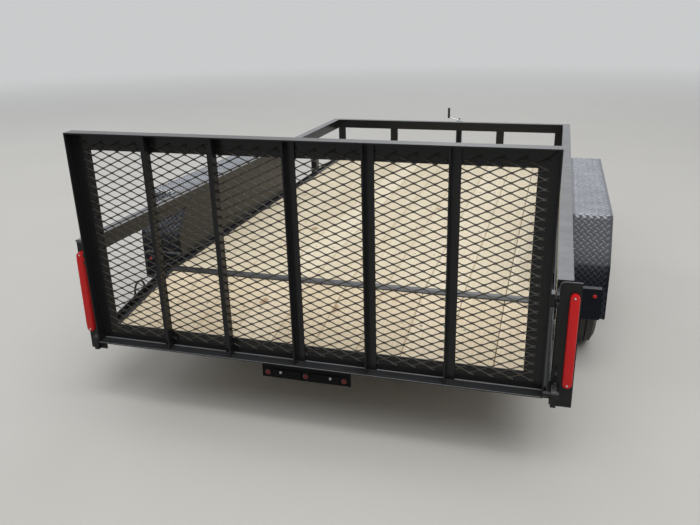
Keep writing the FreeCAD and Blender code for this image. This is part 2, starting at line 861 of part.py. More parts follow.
def jack_crank():
    """Crank on top of the jack: an arm that rises to its upright grip."""
    z = jack_top + jack_cap
    low = z + crank_above_cap
    foot = low + crank_rise
    y0 = jack_y - crank_half
    hub = rod((0, jack_y, z), (0, jack_y, z + crank_hub_height), crank_hub_radius)
    arm = prism([(0, y0, low), (0, y0, low + crank_thickness), (-crank_reach, y0, foot + crank_thickness),
                 (-crank_reach, y0, foot)], (0, 2 * crank_half, 0))
    grip = rod((-crank_reach, jack_y, foot), (-crank_reach, jack_y, foot + grip_length), grip_radius)
    return fused([hub, arm, grip])


def jack_leg():
    """Inner tube with its foot on the floor."""
    low = jack_foot_thickness
    tube = rod((0, jack_y, low), (0, jack_y, jack_leg_top), jack_leg_radius)
    hollow = rod((0, jack_y, low + jack_leg_floor), (0, jack_y, jack_leg_top), jack_leg_radius - jack_wall)
    foot = rod((0, jack_y, 0.0), (0, jack_y, low), jack_foot_radius)
    return fused([tube.cut(hollow), foot])


def leaned(shape):
    """Moves a piece of the upright gate to the gate's own middle and turns it into its resting lean."""
    shape.translate(Vector(gate_offset, 0, 0))
    shape.rotate(Vector(0, hinge_y, hinge_z), Vector(1, 0, 0), gate_lean)
    return shape


def gate_frame():
    """Four angles: their legs lie in the gate's plane, their flanges point back."""
    outer = box(-half_gate, half_gate, mesh_face, mesh_face + gate_wall, gate_low, gate_high)
    hole = box(-half_gate + gate_leg, half_gate - gate_leg, mesh_face, mesh_face + gate_wall,
               gate_low + gate_leg, gate_high - gate_leg)
    rim_out = box(-half_gate, half_gate, mesh_face - gate_flange, mesh_face,
                  gate_low, gate_high)
    rim_in = box(-half_gate + gate_wall, half_gate - gate_wall, mesh_face - gate_flange,
                 mesh_face, gate_low + gate_wall, gate_high - gate_wall)
    parts = [outer.cut(hole).fuse(rim_out.cut(rim_in))]
    for side in (-1, 1):
        start = (side * (half_gate - hinge_tube_inside), hinge_y, hinge_z)
        end = (side * (half_gate + hinge_tube_outside), hinge_y, hinge_z)
        bore = rod(start, end, hinge_pin_radius + running_clearance)
        parts.append(rod(start, end, hinge_tube_radius).cut(bore))
    whole = fused(parts)
    z = hinge_z + latch_height
    for side in (-1, 1):
        pin = rod((half_gate - gate_wall, hinge_y, z), (half_gate + latch_reach, hinge_y, z), latch_radius)
        block = box(half_gate, half_gate + latch_block, hinge_y - latch_block_half,
                    hinge_y + latch_block_half, z - keeper_half, z + keeper_half)
        whole = whole.fuse(on_side(pin.fuse(block), side))
    return leaned(whole)


def gate_posts():
    """Angles that stand on the bottom flange, flat against the mesh, one leg of each pointing back."""
    shapes = []
    face = mesh_face - 2 * mesh_thickness - 3 * mesh_fit
    low = gate_low + gate_wall
    high = gate_high - gate_wall
    half = gate_upright_size / 2
    for x, side in zip(gate_upright_places, gate_upright_sides):
        corner = x + side * half
        shapes.append(leaned(fused([
            box(x - half, x + half, face - gate_upright_wall, face, low, high),
            box(corner - side * gate_upright_wall, corner, face - gate_upright_size, face, low, high),
        ])))
    return shapes


def gate_mesh():
    """Expanded mesh as two layers of straight slanting strands that cross in long diamonds."""
    wide = half_gate - gate_leg + mesh_lap
    low = gate_low + gate_leg - mesh_lap
    high = gate_high - gate_leg + mesh_lap
    reach = wide + mesh_long
    rise = mesh_short / mesh_long
    shapes = []
    for layer, slant in enumerate((1, -1)):
        y = mesh_face - mesh_fit - (layer + 1) * mesh_thickness - layer * mesh_fit
        window = box(-wide, wide, y, y + mesh_thickness, low, high)
        width = mesh_strand / math.cos(math.atan(rise)) / 2
        count = int((2 * wide * rise + high - low) / (2 * mesh_short)) + 1
        middle = (low + high) / 2
        for index in range(-count, count + 1):
            z = middle + index * mesh_short
            strand = prism([
                (-reach, y, z - slant * reach * rise - width), (reach, y, z + slant * reach * rise - width),
                (reach, y, z + slant * reach * rise + width), (-reach, y, z - slant * reach * rise + width),
            ], (0, mesh_thickness, 0))
            piece = strand.common(window)
            if piece.Solids:
                shapes.append(leaned(piece))
    return shapes


def tail_lamps():
    """Upright lamp bars with rounded ends on the posts' rear faces."""
    shapes = []
    high = rail_top - tail_lamp_below_rail
    low = high - tail_lamp_length
    half = tail_lamp_width / 2
    x = post_outer - half - tail_lamp_inset
    y0 = post_face - tail_lamp_depth
    for side in (-1, 1):
        bar = fused([
            box(x - half, x + half, y0, post_face, low + half, high - half),
            rod((x, y0, high - half), (x, post_face, high - half), half),
            rod((x, y0, low + half), (x, post_face, low + half), half),
        ])
        shapes.append(off_centre(bar, side))
    return shapes


def id_bar():
    """Plate under the tail member for the three middle lamps."""
    return box(-id_bar_width / 2, id_bar_width / 2, tail - steel, tail - steel + id_bar_thickness,
               tail_bottom - id_bar_drop, tail_bottom)


def clearance_lamps():
    """Three round lamps on the plate at the tail, and one on the lamp box behind each fender."""
    z = tail_bottom - marker_drop
    shapes = [rod((x, tail - steel - round_lamp_depth, z), (x, tail - steel, z), round_lamp_radius)
              for x in (-id_lamp_spacing, 0.0, id_lamp_spacing)]
    return shapes + box_lamps(-1)


def box_lamps(end):
    """A round lamp on the lamp box of each fender, at the rear or the front end."""
    face = wheel_middle + end * (fender_reach + lamp_box_depth)
    x = lamp_box_out - marker_inset
    z = lamp_box_top - marker_drop
    return [rod((side * x, face, z), (side * x, face + end * round_lamp_depth, z), round_lamp_radius)
            for side in (-1, 1)]


def tie_loops():
    """Bent rods on the outside of the dovetail's side members."""
    shapes = []
    y = tail + loop_from_tail
    x = leg_out + loop_radius
    low = deck_z(y) + loop_foot
    high = deck_height + loop_rise
    half = loop_length / 2
    for side in (-1, 1):
        parts = []
        for end in (-1, 1):
            parts.append(rod((x, y + end * half, low), (x, y + end * half, high - half), loop_radius))
        arch = Part.makeTorus(half, loop_radius, Vector(x, y, high - half), Vector(1, 0, 0))
        upper = box(x - half, x + half, y - 2 * half, y + 2 * half, high - half, high + half)
        parts.append(arch.common(upper))
        shapes.append(on_side(fused(parts), side))
    return shapes


def main():
    os.makedirs("parts", exist_ok=True)
    for name, side in sides.items():
        save("frame_side_" + name, [on_side(side_member(), side)])
        save("top_rail_" + name, [on_side(side_rail(), side)])
        save("rear_post_" + name, rear_post(side))
        save("fender_" + name, [on_side(fender(), side)])
        save("tongue_" + name, [on_side(tongue_member(), side)])
        for place, y in axle_places.items():
            save("tyre_" + place + "_" + name, [tyre(side * wheel_plane, y)])
            save("rim_" + place + "_" + name, [rim(wheel_plane, y, side)])
    for place, y in axle_places.items():
        save("axle_" + place, [axle(y)])
    save("frame_front", [front_member()])
    save("frame_tail", [tail_member()])
    save("crossmembers", crossmembers())
    save("deck_boards", level_boards())
    save("dovetail_boards", dovetail_boards())
    save("bend_strap", [bend_strap()])
    save("edge_bars", edge_bars())
    save("top_rail_front", [front_rail()])
    save("uprights", uprights())
    save("hinge_ears", hinge_ears())
    save("fender_backs", [on_side(fender_back(), side) for side in (-1, 1)])
    save("springs", [on_side(spring(y), side) for y in axle_places.values() for side in (-1, 1)])
    save("spring_hangers", hangers())
    save("equalizers", equalizers())
    save("coupler", [coupler()])
    save("coupler_lever", [coupler_lever()])
    save("jack_plate", [jack_plate()])
    save("jack_tube", [jack_tube()])
    save("jack_crank", [jack_crank()])
    save("jack_leg", [jack_leg()])
    save("gate_frame", [gate_frame()])
    save("gate_mesh", gate_mesh())
    save("gate_uprights", gate_posts())
    save("tail_lamps", tail_lamps())
    save("id_lamp_bar", [id_bar()])
    save("clearance_lamps", clearance_lamps())
    save("front_marker_lamps", box_lamps(1))
    save("tie_down_loops", tie_loops())


main()
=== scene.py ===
import json
import math
import random

import bmesh
import bpy
from mathutils import Matrix, Vector

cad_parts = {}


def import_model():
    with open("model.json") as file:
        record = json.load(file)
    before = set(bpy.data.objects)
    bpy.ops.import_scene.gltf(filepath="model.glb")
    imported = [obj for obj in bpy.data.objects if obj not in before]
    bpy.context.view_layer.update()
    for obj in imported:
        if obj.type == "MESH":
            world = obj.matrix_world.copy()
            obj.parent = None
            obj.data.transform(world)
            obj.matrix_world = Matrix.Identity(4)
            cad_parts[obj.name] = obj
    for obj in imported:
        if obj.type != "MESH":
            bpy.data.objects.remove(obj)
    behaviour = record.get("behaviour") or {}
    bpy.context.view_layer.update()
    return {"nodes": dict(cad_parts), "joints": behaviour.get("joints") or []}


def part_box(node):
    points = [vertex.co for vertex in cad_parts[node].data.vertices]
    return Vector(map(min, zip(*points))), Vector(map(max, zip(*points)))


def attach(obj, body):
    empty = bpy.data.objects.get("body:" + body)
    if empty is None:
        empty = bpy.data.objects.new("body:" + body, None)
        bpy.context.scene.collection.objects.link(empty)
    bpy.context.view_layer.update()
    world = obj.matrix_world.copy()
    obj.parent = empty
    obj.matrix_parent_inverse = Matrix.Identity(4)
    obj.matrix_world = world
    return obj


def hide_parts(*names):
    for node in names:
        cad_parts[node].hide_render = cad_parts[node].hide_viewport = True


# The looks of a tandem-axle utility trailer with a dovetail and a fold-down mesh gate.
# Metres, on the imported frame.
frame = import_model()
nodes = frame["nodes"]
scene = bpy.context.scene

# Sizes that the frame gives
deck_low, deck_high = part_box("deck_boards")
fender_low, fender_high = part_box("fender_right")
rail_low, rail_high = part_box("top_rail_right")
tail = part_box("dovetail_boards")[0].y
bend = deck_low.y
front = deck_high.y
deck_top = deck_high.z
leg_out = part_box("frame_side_right")[1].x
hinge = Vector(next(j for j in frame["joints"] if j["name"] == "gate_hinge")["pos_m"])
tail_deck = hinge.z - 0.006
slope = (deck_top - tail_deck) / (bend - tail)

# Boards
board_width = 0.186
board_gap = 0.003
board_thickness = 0.038
board_starts = [-deck_high.x + index * (board_width + board_gap) for index in range(10)]

# The gate and its mesh, and each upright's place with the side that its leg is on
gate_lean = math.radians(1.6)
gate_half = 0.930
gate_low = hinge.z + 0.0105
gate_high = gate_low + 0.910
gate_leg = 0.075
gate_face = hinge.y - 0.003
gate_uprights = ((-0.606, 1), (-0.326, 1), (-0.014, -1), (0.281, -1), (0.586, -1))
mesh_lap = 0.038
mesh_long = 0.0734
mesh_short = 0.0343
mesh_back = hinge.y - 0.0071

# Wheels
tyre_radius = 0.3445
tyre_half = 0.098
rim_seat = 0.1923

# Directions
x_axis = Vector((1, 0, 0))
y_axis = Vector((0, 1, 0))
z_axis = Vector((0, 0, 1))


def angles(count):
    """The angles of equal steps round a full turn."""
    return [2 * math.pi * index / count for index in range(count)]


def frame_of(direction):
    """Two directions square to this one and to each other."""
    direction = direction.normalized()
    helper = z_axis if abs(direction.z) < 0.9 else y_axis
    across = direction.cross(helper).normalized()
    return across, direction.cross(across).normalized()


class Shape:
    """The points and faces of one piece."""

    def __init__(self):
        self.points = []
        self.faces = []

    def add(self, points, faces):
        """Joins on points, and faces that count from the first of them."""
        start = len(self.points)
        self.points += [tuple(point) for point in points]
        self.faces += [[start + index for index in face] for face in faces]

    def box(self, low, high, axes=(x_axis, y_axis, z_axis), origin=(0, 0, 0)):
        """A block between two corners, measured along three axes from an origin."""
        corners = []
        for z in (low[2], high[2]):
            for x, y in ((low[0], low[1]), (high[0], low[1]), (high[0], high[1]), (low[0], high[1])):
                corners.append(Vector(origin) + axes[0] * x + axes[1] * y + axes[2] * z)
        sides = [(0, 1, 5, 4), (1, 2, 6, 5), (2, 3, 7, 6), (3, 0, 4, 7)]
        self.add(corners, [(3, 2, 1, 0), (4, 5, 6, 7)] + sides)

    def loft(self, rings, closed=False):
        """Skin over rings of equal counts, with flat ends unless the rings close on themselves."""
        count = len(rings[0])
        faces = []
        pairs = len(rings) if closed else len(rings) - 1
        for ring in range(pairs):
            below = ring * count
            above = (ring + 1) % len(rings) * count
            for index in range(count):
                after = (index + 1) % count
                faces.append((below + index, below + after, above + after, above + index))
        if not closed:
            faces.append(tuple(range(count))[::-1])
            faces.append(tuple(range((len(rings) - 1) * count, len(rings) * count)))
        self.add([point for ring in rings for point in ring], faces)

    def tube(self, path, radius, sides=12):
        """A round bar along a path. Radius is one number, or one for each point."""
        path = [Vector(point) for point in path]
        radii = radius if isinstance(radius, (list, tuple)) else [radius] * len(path)
        rings = []
        for index, point in enumerate(path):
            ahead = path[min(index + 1, len(path) - 1)] - path[max(index - 1, 0)]
            across, up = frame_of(ahead)
            rings.append([point + (across * math.cos(a) + up * math.sin(a)) * radii[index]
                          for a in angles(sides)])
        self.loft(rings)

    def turned(self, profile, origin, axis, sides):
        """A profile of (along, radius) turned about an axis, its tips a hair wide."""
        origin, axis = Vector(origin), Vector(axis).normalized()
        across, up = frame_of(axis)
        self.loft([[origin + axis * along + (across * math.cos(a) + up * math.sin(a)) * max(radius, 1e-5)
                    for a in angles(sides)] for along, radius in profile])

    def nut(self, place, axis, radius, height):
        """A chamfered hexagon with a washer under it and the bolt's end in it."""
        washer = 0.002
        self.turned([(0.0, radius * 1.25), (washer, radius * 1.25), (washer + 0.0001, radius * 0.9)],
                    place, axis, 20)
        base = Vector(place) + Vector(axis).normalized() * washer
        self.turned([(0.0, radius), (height * 0.85, radius), (height, radius * 0.87)], base, axis, 6)
        bolt = [(height * 0.9, radius * 0.5), (height + 0.004, radius * 0.5), (height + 0.005, radius * 0.42)]
        self.turned(bolt, base, axis, 12)

    def weld(self, start, end, size):
        """A bead of overlapping ripples between two points."""
        start, end = Vector(start), Vector(end)
        step, narrow = 0.0045, 0.82
        count = max(2, int((end - start).length / step))
        path = [start.lerp(end, index / (2 * count)) for index in range(2 * count + 1)]
        radii = [size * (narrow if index % 2 else 1.0) for index in range(len(path))]
        self.tube(path, radii, 6)


def piece(name, shape, body, material, smooth=30.0, bevel=0.0, turn=None):
    """Makes the object, gives it its finish and lets it ride on its body."""
    mesh = bpy.data.meshes.new(name)
    mesh.from_pydata(shape.points, [], shape.faces)
    work = bmesh.new()
    work.from_mesh(mesh)
    bmesh.ops.recalc_face_normals(work, faces=work.faces)
    if bevel:
        least_turn = 0.6
        sharp = [e for e in work.edges if len(e.link_faces) == 2 and e.calc_face_angle() > least_turn]
        bmesh.ops.bevel(work, geom=sharp, offset=bevel, segments=2, profile=0.5, affect="EDGES")
    work.to_mesh(mesh)
    work.free()
    if turn:
        mesh.transform(turn)
    mesh.materials.append(material)
    thing = bpy.data.objects.new(name, mesh)
    scene.collection.objects.link(thing)
    mesh.polygons.foreach_set("use_smooth", [True] * len(mesh.polygons))
    mesh.set_sharp_from_angle(angle=math.radians(smooth))
    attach(thing, body)
    return thing


def leaned_gate():
    """Turns what is built on an upright gate to where the gate rests."""
    return Matrix.Translation(hinge) @ Matrix.Rotation(gate_lean, 4, "X") @ Matrix.Translation(-hinge)


# Materials

def node_material(name):
    """A new material, its tree and its shader."""
    material = bpy.data.materials.new(name)
    material.use_nodes = True
    tree = material.node_tree
    return material, tree, tree.nodes["Principled BSDF"]


def fill(tree, socket, value):
    """Links a socket to another, or gives it a value."""
    if isinstance(value, bpy.types.NodeSocket):
        tree.links.new(value, socket)
    else:
        socket.default_value = value


def add_node(tree, kind, inputs=None, **settings):
    """A node with its settings, and its inputs linked or filled."""
    node = tree.nodes.new(kind)
    for key, value in settings.items():
        setattr(node, key, value)
    for key, value in (inputs or {}).items():
        fill(tree, node.inputs[key], value)
    return node


def maths(tree, operation, first, second):
    return add_node(tree, "ShaderNodeMath", {0: first, 1: second}, operation=operation).outputs[0]


def mixed(tree, factor, first, second):
    """A colour between two others."""
    node = add_node(tree, "ShaderNodeMix", {"Factor": factor, 6: first, 7: second}, data_type="RGBA")
    return node.outputs[2]


def scaled(tree, value, low, high):
    """A value from 0 to 1 brought between two others."""
    return add_node(tree, "ShaderNodeMapRange", {"Value": value, "To Min": low, "To Max": high}).outputs[0]


def soft_share(tree, value, start, end):
    """How far a value has come between two others, with soft ends."""
    return add_node(tree, "ShaderNodeMapRange", {"Value": value, "From Min": start, "From Max": end},
                    interpolation_type="SMOOTHSTEP").outputs[0]


def noise(tree, vector, scale, detail=3.0, roughness=0.55):
    return add_node(tree, "ShaderNodeTexNoise", {"Vector": vector, "Scale": scale, "Detail": detail,
                                                 "Roughness": roughness}).outputs["Fac"]


def grey_ramp(tree, source, stops):
    """A mask that runs through three greys, each at its place on the source."""
    node = add_node(tree, "ShaderNodeValToRGB", {"Fac": source})
    elements = node.color_ramp.elements
    first, second, last = [(place, (value, value, value, 1.0)) for place, value in stops]
    elements[0].position, elements[0].color = first
    elements[1].position, elements[1].color = last
    elements.new(second[0]).color = second[1]
    return node.outputs["Color"]


def surface(tree, shader, colour, rough, gloss=None):
    """Gives the shader its colour, its roughness and, where it isn't the usual one, its gloss."""
    fill(tree, shader.inputs["Base Color"], colour)
    fill(tree, shader.inputs["Roughness"], rough)
    if gloss is not None:
        fill(tree, shader.inputs["Specular IOR Level"], gloss)


def relief(tree, shader, height, strength, distance, edge=None):
    """Fine bumps, over edges that look rounded by a radius where one is given."""
    inputs = {"Height": height, "Strength": strength, "Distance": distance}
    if edge:
        inputs["Normal"] = add_node(tree, "ShaderNodeBevel", {"Radius": edge}, samples=4).outputs[0]
    fill(tree, shader.inputs["Normal"], add_node(tree, "ShaderNodeBump", inputs).outputs[0])


def paint(name, base, dust_and_sheen_colour, rough, edge=0.0015, gloss=0.22, fall=None):
    """Gloss enamel over steel: soft orange peel, a film of dust and painted sheen on what faces up, and
    rounded edges.
    Between the two heights of a fall the film and the gloss fade away downwards as painted shade, over steep
    ends too."""
    material, tree, shader = node_material(name)
    geometry = add_node(tree, "ShaderNodeNewGeometry")
    vector = geometry.outputs["Position"]
    facing = add_node(tree, "ShaderNodeSeparateXYZ", {"Vector": geometry.outputs["Normal"]})
    upward = {"Value": facing.outputs["Z"], "From Min": 0.45 if fall else 0.3, "From Max": 1.0}
    up = add_node(tree, "ShaderNodeMapRange", upward).outputs[0]
    # Painted shade: below the two heights the film and the gloss fade out, darker towards the bottom, steep
    # ends too
    if fall:
        end = maths(tree, "MULTIPLY", facing.outputs["Y"], facing.outputs["Y"])
        up = maths(tree, "MAXIMUM", up, scaled(tree, end, 0.0, 0.25))
        height = add_node(tree, "ShaderNodeSeparateXYZ", {"Vector": vector}).outputs["Z"]
        fade = soft_share(tree, height, fall[0], fall[1])
        up = maths(tree, "MULTIPLY", up, fade)
        gloss = scaled(tree, fade, gloss * 0.25, gloss)
    patches = scaled(tree, noise(tree, vector, 9.0, 5.0, 0.62), 0.1, 0.8)
    # Film of dust and painted sheen on what faces up, in patches
    film = maths(tree, "MULTIPLY", up, patches)
    uneven = scaled(tree, noise(tree, vector, 26.0, 4.0), rough[0], rough[1])
    surface(tree, shader, mixed(tree, film, base, dust_and_sheen_colour), uneven, gloss)
    relief(tree, shader, noise(tree, vector, 420.0, 2.0), 0.06, 0.0008, edge)
    return material


def pine(name, light, dark, knot):
    """New treated boards: grain along them, darker late wood, a few knots, and a tone of its own for each."""
    material, tree, shader = node_material(name)
    geometry = add_node(tree, "ShaderNodeNewGeometry")
    own = geometry.outputs["Random Per Island"]
    apart = add_node(tree, "ShaderNodeCombineXYZ", {"X": own, "Y": scaled(tree, own, 0.0, 37.0),
                                                    "Z": scaled(tree, own, 0.0, 11.0)}).outputs[0]
    shift = add_node(tree, "ShaderNodeVectorMath", {0: apart, 1: geometry.outputs["Position"]},
                     operation="ADD").outputs[0]
    stretched = add_node(tree, "ShaderNodeMapping", {"Vector": shift, "Scale": (1.0, 0.055, 1.0)}).outputs[0]
    waves = {"Vector": stretched, "Scale": 16.0, "Distortion": 9.0, "Detail": 3.0, "Detail Scale": 1.2}
    rings = add_node(tree, "ShaderNodeTexWave", waves, bands_direction="X").outputs["Fac"]
    fibre = noise(tree, stretched, 240.0, 3.0, 0.6)
    grain = maths(tree, "ADD", scaled(tree, rings, 0.0, 0.62), scaled(tree, fibre, 0.0, 0.5))
    wood = mixed(tree, scaled(tree, grain, 0.0, 0.55), light, dark)
    wood = mixed(tree, scaled(tree, noise(tree, stretched, 7.0), 0.0, 0.4), wood, knot)
    tone = {"Color": wood, "Value": scaled(tree, own, 0.88, 1.1),
            "Saturation": scaled(tree, own, 1.12, 0.86)}
    toned = add_node(tree, "ShaderNodeHueSaturation", tone).outputs[0]
    cells = add_node(tree, "ShaderNodeMapping", {"Vector": shift, "Scale": (1.0, 0.62, 0.4)}).outputs[0]
    distance = add_node(tree, "ShaderNodeTexVoronoi", {"Vector": cells, "Scale": 3.6}).outputs[0]
    knots = grey_ramp(tree, distance, ((0.02, 1.0), (0.06, 0.75), (0.1, 0.0)))
    surface(tree, shader, mixed(tree, knots, toned, knot), scaled(tree, fibre, 0.5, 0.75), 0.35)
    relief(tree, shader, grain, 0.35, 0.0012)
    return material


def rubber(name):
    """Black rubber with a thin, uneven film of dust."""
    material, tree, shader = node_material(name)
    vector = add_node(tree, "ShaderNodeNewGeometry").outputs["Position"]
    dust = noise(tree, vector, 14.0, 5.0, 0.65)
    colour = mixed(tree, scaled(tree, dust, 0.0, 0.6), (0.012, 0.012, 0.013, 1), (0.055, 0.05, 0.044, 1))
    surface(tree, shader, colour, scaled(tree, dust, 0.5, 0.8))
    relief(tree, shader, noise(tree, vector, 300.0, 2.0), 0.15, 0.0008)
    return material


def bright_metal(name, base, dark, rough, metal=1.0):
    """Zinc plate or silver paint, clouded by spangles."""
    material, tree, shader = node_material(name)
    vector = add_node(tree, "ShaderNodeNewGeometry").outputs["Position"]
    cloud = noise(tree, vector, 70.0, 4.0)
    uneven = scaled(tree, noise(tree, vector, 30.0), rough[0], rough[1])
    surface(tree, shader, mixed(tree, cloud, base, dark), uneven)
    shader.inputs["Metallic"].default_value = metal
    relief(tree, shader, cloud, 0.05, 0.0005, 0.001)
    return material


def lens(name, base, deep):
    """Moulded lens: clear gloss over a coloured body with fine level ribs inside."""
    material, tree, shader = node_material(name)
    vector = add_node(tree, "ShaderNodeNewGeometry").outputs["Position"]
    waves = add_node(tree, "ShaderNodeTexWave", {"Vector": vector, "Scale": 95.0}, bands_direction="Z")
    ribs = waves.outputs["Fac"]
    cloud = noise(tree, vector, 40.0)
    tone = maths(tree, "ADD", scaled(tree, ribs, 0.0, 0.45), scaled(tree, cloud, 0.0, 0.3))
    surface(tree, shader, mixed(tree, tone, base, deep), scaled(tree, cloud, 0.16, 0.3), 0.25)
    relief(tree, shader, ribs, 0.2, 0.0006)
    return material


# Bounds of roughness and colours that several paints share, and the heights between which the fenders'
# dust and painted sheen fade into painted shade
glossy, brisk, satin = (0.16, 0.3), (0.2, 0.32), (0.3, 0.45)
jet, shade = (0.0115, 0.0117, 0.0122, 1), (0.02, 0.021, 0.023, 1)
bend_shade_heights = (fender_high.z - 0.285, fender_high.z - 0.115)

black = paint("black_enamel", jet, (0.1, 0.104, 0.112, 1), glossy)
# Treadplate: the bluish tint of its black and of its film is a painted sky reflection
plate = paint("treadplate_enamel", (0.010, 0.0112, 0.015, 1), (0.155, 0.17, 0.205, 1), (0.2, 0.34),
              0.001, 0.21, bend_shade_heights)
# Lozenges: a lighter black and a paler bluish film than the sheet, partly dust and partly a painted highlight
# on their crests
lozenge_highlight_paint = paint("lozenge_highlight_enamel", (0.028, 0.031, 0.038, 1), (0.58, 0.615, 0.68, 1), brisk,
                0.0006, 0.21, bend_shade_heights)
# Rails and lamp hoods: a paler film than the black, partly dust and partly a painted highlight on their
# upward flanges
rail_sheen_paint = paint("rail_sheen_enamel", jet, (0.21, 0.218, 0.232, 1), glossy)
# Gate frame and bend strap: a fainter film than the black, which darkens them as painted shade
gate_shade_paint = paint("gate_shade_enamel", jet, (0.05, 0.052, 0.055, 1), glossy)
shaded = paint("shaded_enamel", (0.009, 0.0092, 0.0098, 1), shade, satin)
# Painted shadow: a darker, duller black for the lamp bar under the tail and its strips
shadow_paint = paint("painted_shadow_enamel", (0.005, 0.005, 0.0055, 1), shade, satin, gloss=0.08)
# Painted highlight: a grey paint for thin edge lines on the gate's bottom flange and round the rear posts'
# tops
edge_highlight_paint = paint("painted_highlight_enamel", (0.095, 0.096, 0.1, 1), (0.3, 0.31, 0.32, 1), glossy)
# Painted highlight: a paler paint still for the lozenges on the fenders' upper bends
bend_highlight_paint = paint("bend_highlight_enamel", (0.13, 0.137, 0.148, 1), (0.7, 0.725, 0.765, 1), brisk, 0.0006, 0.4)
# Expanded mesh: the brownish tint of its black and its film is a painted reflection of the pine deck
mesh_paint = paint("mesh_enamel", (0.0125, 0.0098, 0.006, 1), (0.115, 0.098, 0.066, 1), (0.25, 0.4),
                   0.0005, 0.35)
level_pine = pine("pine_level", (0.85, 0.8, 0.645, 1), (0.67, 0.545, 0.34, 1), (0.33, 0.2, 0.09, 1))
tail_pine = pine("pine_tail", (0.88, 0.8, 0.62, 1), (0.7, 0.55, 0.35, 1), (0.33, 0.19, 0.085, 1))
tread_rubber = rubber("tyre_rubber")
silver = bright_metal("silver_paint", (0.56, 0.57, 0.585, 1), (0.47, 0.48, 0.5, 1), (0.28, 0.42), 0.55)
zinc = bright_metal("zinc_plate", (0.66, 0.67, 0.69, 1), (0.46, 0.47, 0.5, 1), (0.24, 0.42))
dull_steel = bright_metal("dull_steel", (0.3, 0.28, 0.25, 1), (0.2, 0.18, 0.16, 1), (0.45, 0.6), 0.7)
red = lens("red_lens", (0.6, 0.011, 0.012, 1), (0.4, 0.006, 0.007, 1))
# Painted shadow: a darker red for the lenses on the lamp bar under the tail
shadowed_red = lens("red_lens_painted_shadow", (0.22, 0.02, 0.02, 1), (0.08, 0.006, 0.006, 1))
amber = lens("amber_lens", (0.85, 0.3, 0.02, 1), (0.6, 0.16, 0.01, 1))

# The looks of the frame's own pieces, black enamel where none is named
wheel_looks = {"tyre": tread_rubber, "rim": silver}
node_looks = {
    "fender_left": plate, "fender_right": plate, "deck_boards": level_pine, "dovetail_boards": tail_pine,
    "tail_lamps": red, "clearance_lamps": red, "front_marker_lamps": amber, "coupler": zinc,
    "coupler_lever": zinc, "jack_crank": zinc, "jack_leg": zinc, "edge_bars": shaded,
    "id_lamp_bar": shadow_paint, "bend_strap": gate_shade_paint, "gate_frame": gate_shade_paint,
    "top_rail_left": rail_sheen_paint, "top_rail_right": rail_sheen_paint, "top_rail_front": rail_sheen_paint}
for name, node in nodes.items():
    look = node_looks.get(name, wheel_looks.get(name.split("_")[0], black))
    node.data.materials.clear()
    node.data.materials.append(look)


# Boards

def deck_at(y):
    """The deck's height, which falls behind the bend."""
    return deck_top - max(0.0, bend - y) * slope


def boards(name, y0, y1, material, replaced, seed):
    """Boards with eased edges, each a little higher or lower than the next and slightly cupped."""
    random.seed(seed)
    shape = Shape()
    ease, cupped, steps = 0.0025, 0.0007, 8
    soft = ease * 0.3
    for x0 in board_starts:
        x1 = x0 + board_width
        sink = random.uniform(0.0, 0.0012)
        rings = []
        for y in (y0, y1):
            top = deck_at(y) - sink
            low = deck_at(y) - board_thickness
            profile = [(x0, low), (x1, low), (x1, top - ease), (x1 - soft, top - soft), (x1 - ease, top)]
            for step in range(1, steps):
                share = step / steps
                cup = cupped * (1 - (2 * share - 1) ** 2)
                profile.append((x1 - ease - share * (board_width - 2 * ease), top - cup))
            profile += [(x0 + ease, top), (x0 + soft, top - soft), (x0, top - ease)]
            rings.append([Vector((x, y, z)) for x, z in profile])
        shape.loft(rings)
    made = piece(name, shape, "chassis", material, 35.0)
    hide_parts(replaced)


def deck_screws():
    """Two self-drilling screws through each board at every crossmember, a little out of line."""
    shape = Shape()
    spaces, beside, from_edge, stray, sunk = 6, 0.03, 0.042, 0.004, 0.0008
    head = ((-0.002, 0.0062), (0.0004, 0.0062), (0.0009, 0.0048), (0.0004, 0.0022))
    last = front - 0.102
    rows = [bend + (last - bend) * index / spaces + beside for index in range(spaces)] + [front - 0.026]
    rows += [tail + 0.028, (tail + bend) / 2 + 0.02]
    for y in rows:
        upright = (0, -slope * (y < bend), 1)
        for x0 in board_starts:
            for x in (x0 + from_edge, x0 + board_width - from_edge):
                shape.turned(head, (x, y + stray * math.sin(x * 40), deck_at(y) - sunk), upright, 10)
    piece("deck_screws", shape, "chassis", dull_steel)


# Gate

